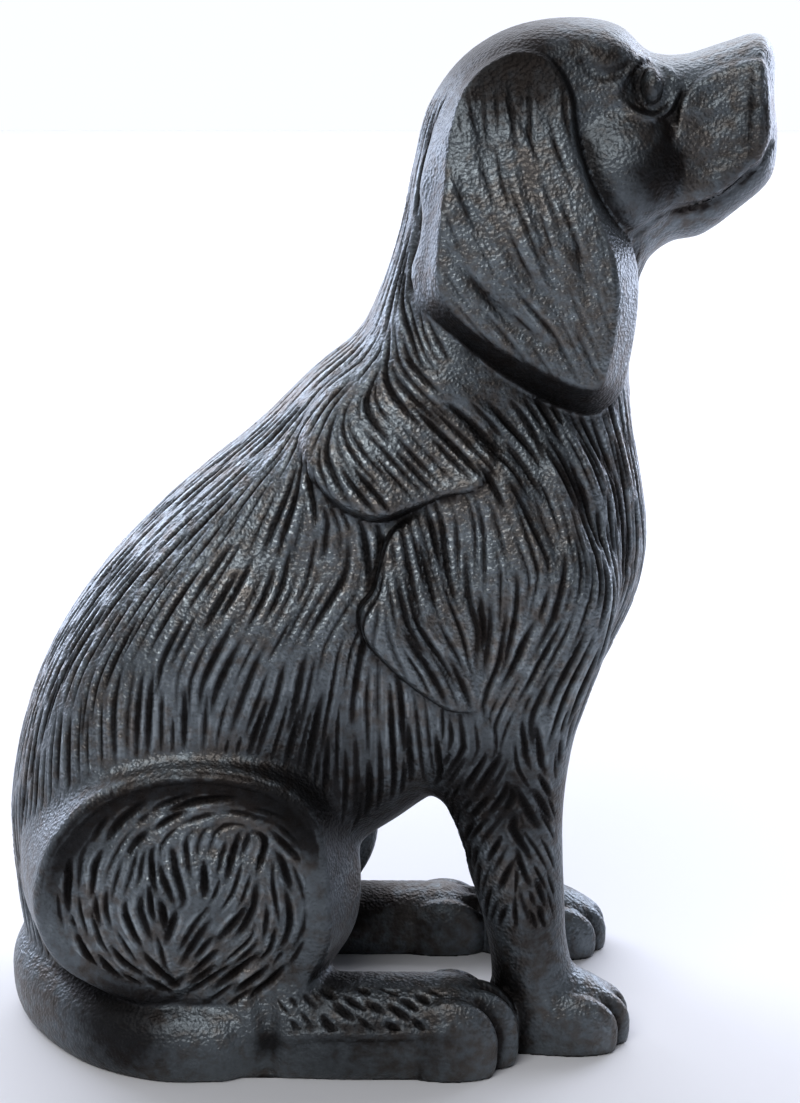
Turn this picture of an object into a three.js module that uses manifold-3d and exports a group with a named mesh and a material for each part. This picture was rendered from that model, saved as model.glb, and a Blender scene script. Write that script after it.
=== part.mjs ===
// A seated long-eared dog, cast in iron as one piece. It faces +X and stands on z = 0, and its tail curls
// round its right side, at -Y. Sizes are in millimetres. The figure itself is a free form: every place and
// radius of it is in thousandths of its height, worked out here as a field that is negative inside the iron.
import * as THREE from "three";
import { mergeVertices } from "three/addons/utils/BufferGeometryUtils.js";
import Module from "manifold-3d";

// Driving dimensions
const HEIGHT = 350; // soles to crown
const FACES = 9600; // triangles that the finished casting is thinned to
const CELL = 6; // spacing of the sampling grid, in thousandths of the height

const UNIT = HEIGHT / 1000;
const LOW = [-408, -234, -48]; // corner of the sampled space, in thousandths of the height
const HIGH = [408, 234, 1020];
const FAR = 60; // field value where no form is near
const MARGIN = 40; // how far beyond a form, and its blend, its field is worked out
const LEG_REACH = 70; // how far to each side a foreleg's field is worked out
const SPREAD = 50; // distance over which a value given at a place holds evenly
const SMOOTHING = 5; // points that each point of an outline is drawn out to
const BEADS = 8; // beads that a limb is made of, from one station to the next
const RUNOUT = 0.08; // share of a furrow's length over which it is shallowest
const SQUARE = 3; // power of a standing form's section below its middle
const FLAT = 1e-3; // least determinant of a quadric that has one lowest place, as a share of its trace cubed
const SHORT = 1e-5; // weight that keeps the edges even where the surface is flat
const TURN = 0.3; // cosine of the most that a face may turn as an edge collapses
const CLEAR = 0.04; // share of a cell that the surface keeps from a grid point

// Outlines in the side view, as [forward, up], each a closed smooth curve
const trunkOutline = [
  [-345, -24], [-367, 60], [-378, 150], [-378, 230], [-363, 305], [-336, 378], [-289, 453], [-212, 536],
  [-112, 619], [-62, 668], [-20, 703], [1, 742], [22, 806], [35, 870], [51, 924], [82, 965], [126, 991],
  [182, 1000], [226, 993], [256, 969], [288, 966], [330, 978], [358, 985], [371, 974], [375, 926], [380, 880],
  [374, 850], [345, 822], [310, 797], [280, 790], [259, 772], [249, 740], [245, 690], [248, 625], [260, 557],
  [267, 505], [261, 453], [240, 400], [212, 350], [176, 312], [132, 278], [90, 252], [56, 236], [25, 214],
  [-9, 190], [-55, 140], [-110, 60], [-180, -24],
];
const earOutline = [
  [100, 958], [130, 970], [158, 960], [174, 930], [177, 895], [189, 855], [205, 815], [218, 775], [219, 735],
  [213, 695], [204, 669], [190, 668], [150, 686], [110, 708], [76, 733], [58, 760], [56, 804], [59, 849],
  [67, 902], [79, 936],
];
const haunchOutline = [
  [-330, 170], [-320, 221], [-298, 258], [-267, 287], [-225, 305], [-171, 312], [-118, 306], [-78, 288],
  [-58, 262], [-50, 220], [-46, 170], [-50, 130], [-70, 96], [-97, 66], [-127, 48], [-165, 55], [-215, 70],
  [-270, 88], [-312, 118],
];
const foreLegOutline = [
  [38, 350], [48, 290], [68, 248], [80, 217], [92, 175], [102, 140], [112, 89], [114, 40], [118, -24],
  [186, -24], [196, 60], [187, 110], [184, 160], [182, 196], [181, 238], [184, 281], [191, 323], [204, 365],
  [222, 420], [226, 480], [196, 530], [130, 545], [72, 510], [44, 430],
];
const upperArmOutline = [
  [42, 552], [12, 530], [4, 500], [0, 480], [-12, 462], [-8, 440], [14, 412], [44, 386], [76, 366],
  [110, 372], [150, 470], [130, 540], [86, 562],
];
const shoulderOutline = [
  [-70, 622], [-66, 598], [-50, 578], [-28, 562], [0, 554], [30, 562], [62, 572], [96, 580], [110, 620],
  [80, 670], [10, 690], [-40, 668],
];
const lipOutline = [
  [262, 806], [276, 808], [292, 815], [306, 818], [320, 822], [334, 834], [346, 848], [356, 864], [362, 890],
  [361, 930], [354, 960], [330, 960], [300, 948], [282, 930], [276, 900], [268, 850],
];

// Paths of the deeper carving, on both sides, as [forward, up]
const earFurrows = [
  [[124, 938], [127, 922], [136, 902], [150, 878]],
  [[92, 926], [95, 898], [104, 863]],
  [[72, 872], [83, 836], [103, 796]],
  [[127, 885], [137, 850], [151, 805], [162, 764]],
  [[66, 794], [93, 760], [130, 725], [172, 702]],
  [[106, 827], [121, 796], [138, 769], [169, 742]],
  [[166, 815], [185, 785], [194, 752]],
];
const chestFurrows = [
  [[70, 649], [108, 621], [131, 599], [143, 566], [165, 518], [176, 497]],
  [[107, 653], [130, 630], [154, 583], [171, 528]],
  [[169, 618], [194, 559], [207, 523]],
  [[191, 628], [221, 590], [241, 531], [244, 487]],
];
const napeFurrow = [[68, 882], [49, 837], [40, 782], [34, 726]];
const thighFurrows = [
  [[-222, 212], [-192, 231], [-164, 237], [-136, 233], [-100, 222]],
  [[-200, 76], [-158, 100], [-124, 118], [-96, 128]],
];

// Forms of the figure, joined in this order. Levels are [forward, up, half-width], places that the
// half-width is smoothly drawn between. A fourth value of a swell's is how far inside the outline the side
// reaches that width, and of a slab's how much its wall flares.
const forms = [
  swell({ outline: trunkOutline, blend: 1, levels: [
    [-320, 100, 138, 140], [-230, 250, 160, 120], [-120, 400, 164, 125], [0, 300, 146, 90],
    [60, 430, 152, 110], [-80, 560, 134, 100], [120, 540, 142, 105], [220, 470, 104, 80], [60, 650, 116, 90],
    [130, 720, 100, 85], [210, 700, 78, 60], [40, 880, 92, 56], [120, 880, 94, 62], [110, 1000, 86, 36],
    [200, 1000, 78, 36], [200, 930, 88, 52], [230, 850, 84, 52], [310, 900, 62, 34], [360, 920, 58, 24],
    [350, 860, 56, 28], [310, 810, 46, 28],
  ] }),
  // the thighs, with a drafted front wall, and their domes
  ...[[1, 16], [-1, 0]].flatMap(([side, ahead]) => [
    slab({ outline: haunchOutline.map(([x, z]) => [x + ahead, z]), levels: [[-180, 200, 176, 0.34],
      [-60, 200, 184, 0.34], [-180, 60, 180, 0.34]], side, thick: 110, edge: 8, blend: 10 }),
    egg({ at: [ahead - 182, side * 162, 168], radii: [114, 34, 108], only: true, blend: 20 }),
  ]),
  ...forefoot(109, 0.94),
  ...forefoot(-106, 1),
  // upper arm and shoulder blade, which run out into the body at the front
  relief({ outline: upperArmOutline, heights: [[-4, 450, 15], [14, 520, 11], [50, 380, 16], [84, 372, 6],
    [110, 380, 0], [140, 440, 0], [110, 530, 0], [70, 560, 2]], flare: 0.6, edge: 5 }),
  relief({ outline: shoulderOutline, heights: [[-50, 590, 10], [10, 560, 18], [62, 575, 9], [94, 585, 2],
    [0, 670, 0], [100, 640, 0], [-60, 640, 5]], flare: 0.7, edge: 5 }),
  // upper lip, cheek, and the ear that hangs behind it
  relief({ outline: lipOutline, heights: [[330, 840, 8], [300, 822, 8], [352, 880, 8], [350, 930, 6],
    [300, 890, 3], [310, 950, 0], [270, 850, 0]], flare: 1, edge: 4 }),
  egg({ at: [226, 56, 862], radii: [57, 50, 62], blend: 20 }),
  slab({ outline: earOutline, levels: [
    [140, 700, 132, 0.95], [70, 745, 132, 0.7], [60, 830, 128, 0.45], [140, 800, 134, 0.5],
    [140, 880, 124, 0.4], [90, 890, 114, 0.4], [165, 930, 110, 0.3], [110, 970, 90, 0],
    [150, 970, 90, 0.1], [84, 940, 92, 0.1], [212, 720, 132, 0.5],
  ], thick: 60, edge: 4, blend: 4 }),
  ...earFurrows.map((path) => furrow({ path, half: 8, depth: 5 })),
  ...[...chestFurrows, napeFurrow].map((path) => furrow({ path, half: 14, depth: 4.5 })),
  ...thighFurrows.map((path) => furrow({ path, half: 11, depth: 7 })),
  // brow, eye socket and eye
  egg({ at: [213, 60, 964], radii: [25, 19, 14], blend: 8 }),
  egg({ at: [247, 98, 938], radii: [26, 26, 22], carve: true, blend: 8 }),
  egg({ at: [251, 72, 939], radii: [11, 18, 16], blend: 3 }),
  ...hindfoot(118, 44, 68),
  ...hindfoot(-154, 49, 90),
  // tail, from the rump round to the right side
  limb({ blend: 6, stations: [
    [-310, 26, 60, 46, 52], [-338, -14, 50, 44, 52], [-331, -54, 43, 43, 49], [-302, -98, 37, 43, 46],
    [-258, -141, 34, 43, 44], [-206, -163, 32, 43, 43], [-158, -165, 32, 42, 42],
  ] }),
];

// A foreleg with its paw. The two middle toes reach further forward than the outer ones.
function forefoot(y, size) {
  const ankle = 200;
  const toes = [[-31, 194], [-11, 208], [11, 208], [31, 194]];
  return [
    swell({ outline: foreLegOutline, levels: [[130, 60, 36, 36], [130, 200, 40, 44], [120, 330, 46, 50],
      [130, 450, 44, 60]], y, blend: 24 }),
    egg({ at: [172, y, 26 * size], radii: [70, 42, 52 * size], only: true, standing: true, blend: 12 }),
    ...toes.map(([across, ahead]) => egg({ at: [ankle + (ahead - ankle) * size, y + across, 22 * size],
      radii: [44 * size, 15, 38 * size], only: true, standing: true, blend: 4 })),
  ];
}

// A hind foot, lying flat, with places and sizes of its toes as shares of its half-width and height
function hindfoot(y, wide, high) {
  const middle = 0.42 * high;
  const stations = [[-120, 0.9], [-20, 1], [66, 0.96]].map(
    ([x, share]) => [x, y, middle, share * wide, high - middle],
  );
  const toes = [[-0.68, 70], [-0.23, 92], [0.23, 92], [0.68, 70]];
  return [
    limb({ blend: 22, stations }),
    ...toes.map(([share, ahead]) => egg({ at: [ahead, y + share * wide, 0.36 * high],
      radii: [46, 0.34 * wide, 0.54 * high], only: true, standing: true, blend: 4 })),
  ];
}

// Smooth minimum: where two forms are within k of each other their join is filleted
function soft(a, b, k) {
  const h = Math.max(k - Math.abs(a - b), 0) / k;
  return Math.min(a, b) - (h * h * k) / 4;
}

// The distance from [x, z] to a line of points, and how far along it the nearest place is, as a share
function nearestOn(points, x, z) {
  let [nearest, along] = [Infinity, 0];
  for (let i = 0; i < points.length - 1; i++) {
    const [ax, az] = points[i];
    const [dx, dz] = [points[i + 1][0] - ax, points[i + 1][1] - az];
    const t = Math.min(Math.max(((x - ax) * dx + (z - az) * dz) / (dx ** 2 + dz ** 2), 0), 1);
    const off = Math.hypot(ax + t * dx - x, az + t * dz - z);
    if (off < nearest) [nearest, along] = [off, (i + t) / (points.length - 1)];
  }
  return [nearest, along];
}

// How far [x, z] lies inside an outline that ends where it starts, negative outside it
function depthInside(points, x, z) {
  let inside = false;
  for (let i = 0; i < points.length - 1; i++) {
    const [ax, az] = points[i];
    const [bx, bz] = points[i + 1];
    if (az > z !== bz > z && x < ((bx - ax) * (z - az)) / (bz - az) + ax) inside = !inside;
  }
  return nearestOn(points, x, z)[0] * (inside ? 1 : -1);
}

// Values at scattered places, drawn smoothly between them
function drawnBetween(levels, x, z) {
  const total = levels[0].slice(2).map(() => 0);
  let weight = 0;
  for (const [ax, az, ...values] of levels) {
    const w = 1 / ((ax - x) ** 2 + (az - z) ** 2 + SPREAD ** 2) ** 2;
    values.forEach((v, i) => (total[i] += v * w));
    weight += w;
  }
  return total.map((v) => v / weight);
}

// Points along a smooth curve through the given ones. A closed one ends where it starts.
function drawnThrough(points, closed) {
  const curve = new THREE.CatmullRomCurve3(points.map(([x, z]) => new THREE.Vector3(x, z, 0)), closed);
  return curve.getPoints(points.length * SMOOTHING).map((p) => [p.x, p.y]);
}

// A form swollen from its side outline, with an elliptical section
function swell({ outline, levels, y = null, blend }) {
  const points = drawnThrough(outline, true);
  return { blend, reach: reachOf(points, y), column(x, z) {
    const depth = depthInside(points, x, z);
    const [half, round] = drawnBetween(levels, x, z);
    const rise = Math.max(1 - depth / round, 0);
    return (across) => (Math.hypot((across - (y ?? 0)) / half, rise) - 1) * Math.min(half, round);
  } };
}

// A slab on each side, or on one, with its flat face at a level and a wall that flares as a mould's draft
function slab({ outline, levels, side = 0, thick, edge, blend }) {
  const points = drawnThrough(outline, true);
  return { blend, reach: reachOf(points, null), column(x, z) {
    const depth = depthInside(points, x, z);
    const [level, flare] = drawnBetween(levels, x, z);
    return (across) => {
      const face = (side ? side * across : Math.abs(across)) - level;
      const wall = (-depth + Math.max(face, -thick) * flare) / Math.hypot(1, flare);
      return -soft(soft(-face, -wall, edge), face + thick, thick / 3);
    };
  } };
}

// The surface so far, raised within an outline on both sides by heights that may fall to nothing
function relief({ outline, heights, flare, edge }) {
  const points = drawnThrough(outline, true);
  return { blend: 1, reach: reachOf(points, null), column(x, z) {
    const depth = depthInside(points, x, z);
    const [height] = drawnBetween(heights, x, z);
    return (across, field) => -soft(height - field, depth + flare * (height - field), edge);
  } };
}

// A rounded furrow along a path on both sides, that runs out at its ends
function furrow({ path, half, depth }) {
  const points = drawnThrough(path, false);
  return { replace: true, blend: half, reach: reachOf(path, null), column(x, z) {
    const [off, along] = nearestOn(points, x, z);
    const profile = off < half ? (1 - (off / half) ** 2) ** 2 : 0;
    const full = THREE.MathUtils.clamp(along, RUNOUT, 1 - RUNOUT);
    const deep = depth * profile * Math.sqrt(Math.sin(Math.PI * full));
    return (across, field) => field + deep;
  } };
}

// An ellipsoid, on both sides unless only one is asked for. A standing one is squarer below its middle.
function egg({ at, radii, only = false, standing = false, carve = false, blend }) {
  const [cx, cy, cz] = at;
  const [rx, ry, rz] = radii;
  return { carve, blend, reach: [[cx - rx, -Infinity, cz - rz], [cx + rx, Infinity, cz + rz]], column(x, z) {
    const [dx, dz] = [(x - cx) / rx, (z - cz) / rz];
    const power = standing && dz < 0 ? SQUARE : 2;
    return (across) => {
      const y = (only ? across : Math.abs(across)) - cy;
      const flat = Math.hypot(dx, y / ry);
      const near = (flat ** power + Math.abs(dz) ** power) ** (1 / power);
      const steep = Math.hypot(x - cx, y, z - cz) / Math.max(near, 0.01);
      return (near - 1) * Math.min(Math.max(steep, Math.min(rx, ry, rz)), Math.max(rx, ry, rz));
    };
  } };
}

// A lying limb through stations of [forward, across, up, half-width, half-height], squarer under its middle
function limb({ stations, blend }) {
  const curve = new THREE.CatmullRomCurve3(stations.map(([x, y, z]) => new THREE.Vector3(x, y, z)));
  const spans = stations.length - 1;
  const beads = Array.from({ length: spans * BEADS + 1 }, (_, i) => {
    const p = curve.getPoint(i / (spans * BEADS));
    const start = Math.min(Math.floor(i / BEADS), spans - 1);
    const [wide, high] = [3, 4].map((k) => THREE.MathUtils.lerp(
      stations[start][k], stations[start + 1][k], i / BEADS - start,
    ));
    return [p.x, p.y, p.z, wide, high];
  });
  const size = Math.max(...stations.flatMap((s) => s.slice(3)));
  const low = [0, 1, 2].map((i) => Math.min(...beads.map((b) => b[i])) - size);
  const high = [0, 1, 2].map((i) => Math.max(...beads.map((b) => b[i])) + size);
  return { blend, reach: [low, high], column(x, z) {
    return (across) => {
      let nearest = Infinity;
      for (const [bx, by, bz, r, up] of beads) {
        const dz = (z - bz) / up;
        const power = dz < 0 ? SQUARE : 2;
        const near = ((Math.hypot(x - bx, across - by) / r) ** power + Math.abs(dz) ** power) ** (1 / power);
        nearest = Math.min(nearest, (near - 1) * r);
      }
      return nearest;
    };
  } };
}

function reachOf(points, y) {
  const xs = points.map((p) => p[0]);
  const zs = points.map((p) => p[1]);
  const [yLow, yHigh] = y === null ? [-Infinity, Infinity] : [y - LEG_REACH, y + LEG_REACH];
  return [[Math.min(...xs), yLow, Math.min(...zs)], [Math.max(...xs), yHigh, Math.max(...zs)]];
}

// The field on the grid, form after form
function sampleField() {
  const count = LOW.map((low, i) => Math.round((HIGH[i] - low) / CELL) + 1);
  const [nx, ny, nz] = count;
  const field = new Float32Array(nx * ny * nz).fill(FAR);
  for (const form of forms) {
    const margin = form.blend + MARGIN;
    const first = LOW.map((low, i) => Math.max(Math.floor((form.reach[0][i] - margin - low) / CELL), 0));
    const last = LOW.map(
      (low, i) => Math.min(Math.ceil((form.reach[1][i] + margin - low) / CELL), count[i] - 1),
    );
    for (let iz = first[2]; iz <= last[2]; iz++) {
      for (let ix = first[0]; ix <= last[0]; ix++) {
        const at = form.column(LOW[0] + ix * CELL, LOW[2] + iz * CELL);
        for (let iy = first[1]; iy <= last[1]; iy++) {
          const i = ix + nx * (iy + ny * iz);
          const value = at(LOW[1] + iy * CELL, field[i]);
          if (form.replace) field[i] = value;
          else if (form.carve) field[i] = -soft(-field[i], value, form.blend);
          else field[i] = soft(field[i], value, form.blend);
        }
      }
    }
  }
  return { field, count };
}

// A cell is split into six tetrahedra that share its long diagonal. A corner's bits are its x, y and z.
const tetrahedra = [[1, 2], [1, 4], [2, 1], [2, 4], [4, 1], [4, 2]].map(([a, b]) => [0, a, a | b, 7]);
const bitsOf = (corner) => [corner & 1, (corner >> 1) & 1, corner >> 2];

// For a tetrahedron, and each way that its corners can lie inside, the triangles between the crossed edges
const cuts = tetrahedra.map((tetra) => Array.from({ length: 16 }, (_, kind) => {
  const within = tetra.filter((_, i) => kind & (1 << i));
  const without = tetra.filter((_, i) => !(kind & (1 << i)));
  if (!within.length || !without.length) return [];
  const ring = within.length === 2
    ? [[0, 0], [0, 1], [1, 1], [1, 0]].map(([i, j]) => [within[i], without[j]])
    : within.flatMap((a) => without.map((b) => [a, b]));
  const middles = ring.map(
    ([a, b]) => new THREE.Vector3(...bitsOf(a)).add(new THREE.Vector3(...bitsOf(b))),
  );
  const normal = middles[1].clone().sub(middles[0]).cross(middles[2].clone().sub(middles[0]));
  const outward = new THREE.Vector3(...bitsOf(without[0])).sub(new THREE.Vector3(...bitsOf(within[0])));
  if (normal.dot(outward) < 0) ring.reverse();
  return ring.length === 4 ? [ring[0], ring[1], ring[2], ring[0], ring[2], ring[3]] : ring;
}));

// The surface where the field is zero, as a closed mesh in millimetres
function surfaceOf({ field, count: [nx, ny, nz] }) {
  const step = [1, nx, nx * ny];
  const offset = Array.from(
    { length: 8 },
    (_, corner) => bitsOf(corner).reduce((sum, bit, i) => sum + bit * step[i], 0),
  );
  const places = [];
  const index = [];
  const made = new Map();
  const vertexOn = (base, [a, b]) => {
    const [low, high] = [Math.min(a, b), Math.max(a, b)];
    const key = (base + offset[low]) * 8 + (high ^ low);
    if (!made.has(key)) {
      const start = base + offset[low];
      const [f, g] = [field[start], field[base + offset[high]]];
      const t = Math.min(Math.max(f / (f - g), CLEAR), 1 - CLEAR);
      const cell = [start % nx, Math.floor(start / nx) % ny, Math.floor(start / (nx * ny))];
      made.set(key, places.length / 3);
      bitsOf(high ^ low).forEach((bit, i) => places.push((LOW[i] + (cell[i] + bit * t) * CELL) * UNIT));
    }
    return made.get(key);
  };
  for (let iz = 0; iz < nz - 1; iz++) {
    for (let iy = 0; iy < ny - 1; iy++) {
      for (let ix = 0; ix < nx - 1; ix++) {
        const base = ix + step[1] * iy + step[2] * iz;
        let inside = 0;
        for (let c = 0; c < 8; c++) if (field[base + offset[c]] < 0) inside |= 1 << c;
        if (inside === 0 || inside === 255) continue;
        tetrahedra.forEach((tetra, n) => {
          let kind = 0;
          tetra.forEach((corner, i) => (kind |= ((inside >> corner) & 1) << i));
          for (const edge of cuts[n][kind]) index.push(vertexOn(base, edge));
        });
      }
    }
  }
  return { places, index };
}

// Thins a closed mesh by collapsing the edge that moves the surface least, until few faces are left
function thin({ places, index }, wanted) {
  const P = Float64Array.from(places);
  const F = Uint32Array.from(index);
  const around = Array.from({ length: P.length / 3 }, () => []);
  const Q = new Float64Array(10 * around.length);
  const stamp = new Uint32Array(around.length);
  const alive = new Uint8Array(F.length / 3).fill(1);
  const n = [0, 0, 0];

  const cross = (ax, ay, az, b, c) => {
    const [ux, uy, uz] = [P[b] - ax, P[b + 1] - ay, P[b + 2] - az];
    const [vx, vy, vz] = [P[c] - ax, P[c + 1] - ay, P[c + 2] - az];
    n[0] = uy * vz - uz * vy;
    n[1] = uz * vx - ux * vz;
    n[2] = ux * vy - uy * vx;
    return Math.sqrt(n[0] * n[0] + n[1] * n[1] + n[2] * n[2]);
  };
  for (let f = 0; f < alive.length; f++) {
    const a = 3 * F[3 * f];
    const twice = cross(P[a], P[a + 1], P[a + 2], 3 * F[3 * f + 1], 3 * F[3 * f + 2]);
    const [x, y, z] = n.map((v) => (twice > 0 ? v / twice : 0));
    const d = -(x * P[a] + y * P[a + 1] + z * P[a + 2]);
    const q = [x * x, x * y, x * z, x * d, y * y, y * z, y * d, z * z, z * d, d * d];
    for (let k = 0; k < 3; k++) {
      const v = F[3 * f + k];
      around[v].push(f);
      for (let i = 0; i < 10; i++) Q[10 * v + i] += q[i] * twice;
    }
  }

  const neighbours = (v) => {
    const found = [];
    for (const f of around[v]) {
      for (const w of F.subarray(3 * f, 3 * f + 3)) if (w !== v && !found.includes(w)) found.push(w);
    }
    return found;
  };

  // The edges wait in a heap, cheapest first
  const heap = [];
  const push = (item) => {
    let i = heap.push(item) - 1;
    while (i > 0 && heap[(i - 1) >> 1].cost > item.cost) {
      heap[i] = heap[(i - 1) >> 1];
      i = (i - 1) >> 1;
    }
    heap[i] = item;
  };
  const pop = () => {
    const top = heap[0];
    const item = heap.pop();
    let i = 0;
    for (let child = 1; child < heap.length; child = 2 * i + 1) {
      if (child + 1 < heap.length && heap[child + 1].cost < heap[child].cost) child++;
      if (heap[child].cost >= item.cost) break;
      heap[i] = heap[child];
      i = child;
    }
    if (heap.length) heap[i] = item;
    return top;
  };
  const q = new Float64Array(10);
  const errorAt = (x, y, z) => x * (q[0] * x + 2 * (q[1] * y + q[2] * z + q[3]))
    + y * (q[4] * y + 2 * (q[5] * z + q[6])) + z * (q[7] * z + 2 * q[8]) + q[9];
  const offer = (a, b) => {
    for (let i = 0; i < 10; i++) q[i] = Q[10 * a + i] + Q[10 * b + i];
    const [i, j] = [3 * a, 3 * b];
    let [x, y, z] = [(P[i] + P[j]) / 2, (P[i + 1] + P[j + 1]) / 2, (P[i + 2] + P[j + 2]) / 2];
    const length = (P[i] - P[j]) ** 2 + (P[i + 1] - P[j + 1]) ** 2 + (P[i + 2] - P[j + 2]) ** 2;
    const [m0, m1, m2] = [q[4] * q[7] - q[5] * q[5], q[2] * q[5] - q[1] * q[7], q[1] * q[5] - q[2] * q[4]];
    const det = q[0] * m0 + q[1] * m1 + q[2] * m2;
    if (det > FLAT * (q[0] + q[4] + q[7]) ** 3) {
      const [m4, m5, m8] = [q[0] * q[7] - q[2] * q[2], q[1] * q[2] - q[0] * q[5], q[0] * q[4] - q[1] * q[1]];
      x = -(m0 * q[3] + m1 * q[6] + m2 * q[8]) / det;
      y = -(m1 * q[3] + m4 * q[6] + m5 * q[8]) / det;
      z = -(m2 * q[3] + m5 * q[6] + m8 * q[8]) / det;
    }
    push({ cost: errorAt(x, y, z) + SHORT * length * length, a, b, x, y, z, stamp: stamp[a] + stamp[b] });
  };
  const turns = (v, other, x, y, z) => {
    for (const f of around[v]) {
      const k = F[3 * f] === v ? 0 : F[3 * f + 1] === v ? 1 : 2;
      const [b, c] = [F[3 * f + ((k + 1) % 3)], F[3 * f + ((k + 2) % 3)]];
      if (b === other || c === other) continue;
      const before = cross(P[3 * v], P[3 * v + 1], P[3 * v + 2], 3 * b, 3 * c);
      const [nx, ny, nz] = n;
      const after = cross(x, y, z, 3 * b, 3 * c);
      if (nx * n[0] + ny * n[1] + nz * n[2] <= TURN * before * after) return true;
    }
    return false;
  };

  for (let v = 0; v < around.length; v++) for (const w of neighbours(v)) if (v < w) offer(v, w);
  let left = alive.length;
  while (left > wanted && heap.length) {
    const { a, b, x, y, z, stamp: then } = pop();
    if (stamp[a] + stamp[b] !== then || !around[a].length || !around[b].length) continue;
    const [na, nb] = [neighbours(a), neighbours(b)];
    if (na.filter((v) => nb.includes(v)).length !== 2) continue;
    if (turns(a, b, x, y, z) || turns(b, a, x, y, z)) continue;
    for (const f of around[b]) {
      const face = F.subarray(3 * f, 3 * f + 3);
      if (face.includes(a)) {
        alive[f] = 0;
        left--;
        for (const v of face) if (v !== b) around[v] = around[v].filter((g) => g !== f);
      } else {
        face[face.indexOf(b)] = a;
        around[a].push(f);
      }
    }
    around[b] = [];
    P.set([x, y, z], 3 * a);
    for (let i = 0; i < 10; i++) Q[10 * a + i] += Q[10 * b + i];
    stamp[a]++;
    stamp[b]++;
    for (const v of neighbours(a)) offer(a, v);
  }
  return { places: P, index: [...F].filter((_, i) => alive[Math.floor(i / 3)]) };
}

function geometryOf({ places, index }) {
  const used = new Map();
  const kept = [];
  const renumbered = index.map((v) => {
    if (!used.has(v)) {
      used.set(v, kept.length / 3);
      kept.push(places[3 * v], places[3 * v + 1], places[3 * v + 2]);
    }
    return used.get(v);
  });
  return new THREE.BufferGeometry()
    .setAttribute("position", new THREE.BufferAttribute(new Float32Array(kept), 3))
    .setIndex(renumbered);
}

const wasm = await Module();
wasm.setup();

function solidOf(geometry) {
  const bare = geometry.clone();
  bare.deleteAttribute("normal");
  bare.deleteAttribute("uv");
  const merged = mergeVertices(bare, 1e-4);
  return new wasm.Manifold(new wasm.Mesh({
    numProp: 3,
    vertProperties: merged.attributes.position.array,
    triVerts: new Uint32Array(merged.index.array),
  }));
}

// Soles and rump are ground flat, so that the casting stands on z = 0
function groundFlat(geometry) {
  const stone = new THREE.BoxGeometry(3 * HEIGHT, 3 * HEIGHT, HEIGHT).translate(0, 0, -HEIGHT / 2);
  const cut = solidOf(geometry).subtract(solidOf(stone)).getMesh();
  return new THREE.BufferGeometry()
    .setAttribute("position", new THREE.BufferAttribute(cut.vertProperties.slice(), 3))
    .setIndex(new THREE.BufferAttribute(cut.triVerts.slice(), 1));
}

const iron = new THREE.MeshStandardMaterial({ color: 0x2b2724, roughness: 0.42, metalness: 0.85 });
const geometry = groundFlat(geometryOf(thin(surfaceOf(sampleField()), FACES)));
geometry.computeBoundingBox();
const middle = geometry.boundingBox.getCenter(new THREE.Vector3());
geometry.translate(-middle.x, -middle.y, 0);
const casting = new THREE.Mesh(geometry, iron);
casting.name = "dog";

const dog = new THREE.Group();
dog.add(casting);
export default dog;
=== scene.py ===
"""A seated long-eared dog in cast iron, with the carved strokes of its coat, on a pale studio floor."""
import math
import random

import bpy
import numpy as np
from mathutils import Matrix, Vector
from mathutils.kdtree import KDTree


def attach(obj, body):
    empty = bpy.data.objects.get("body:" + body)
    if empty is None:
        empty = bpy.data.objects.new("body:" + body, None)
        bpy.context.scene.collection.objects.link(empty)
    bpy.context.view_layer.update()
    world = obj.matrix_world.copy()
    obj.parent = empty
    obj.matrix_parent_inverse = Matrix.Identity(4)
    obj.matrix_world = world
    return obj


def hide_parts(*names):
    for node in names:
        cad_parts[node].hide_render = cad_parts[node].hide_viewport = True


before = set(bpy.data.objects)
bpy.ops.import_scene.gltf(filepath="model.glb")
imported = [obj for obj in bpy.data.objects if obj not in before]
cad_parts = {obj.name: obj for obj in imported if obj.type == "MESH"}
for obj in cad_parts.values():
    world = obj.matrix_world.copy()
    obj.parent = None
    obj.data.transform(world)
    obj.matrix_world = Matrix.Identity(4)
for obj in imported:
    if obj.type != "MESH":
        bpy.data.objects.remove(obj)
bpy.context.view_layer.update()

# Sizes. The figure's own measure is the thousandth of its height, here in metres and in millimetres.
HEIGHT = 0.350
UNIT = HEIGHT / 1000
UNIT_MM = UNIT * 1000
MIDDLE = np.array([-1.28, -5.7, 0.0])  # the middle of the figure's box, in thousandths
SKIN = 0.00072  # m, spacing of the casting's surface points
TRIANGLES = 196000  # the most that the finished dog may have
STEP = 0.9  # mm between the points of a stroke
GRAIN = 0.0013  # m, the moulding sand's grain
FINE_GRAIN = 0.0008  # m, the finest sand between the grains
SPECKS = 0.004  # m, specks of wax and rust
PATCHES = 0.03  # m, patches where rust shows more
CAMERA_PLACE = (0.0078, -0.698, 0.350)  # m
CAMERA_LENS = 67.10  # mm
CAMERA_TILT = 75.4275  # degrees up from looking straight down

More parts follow.
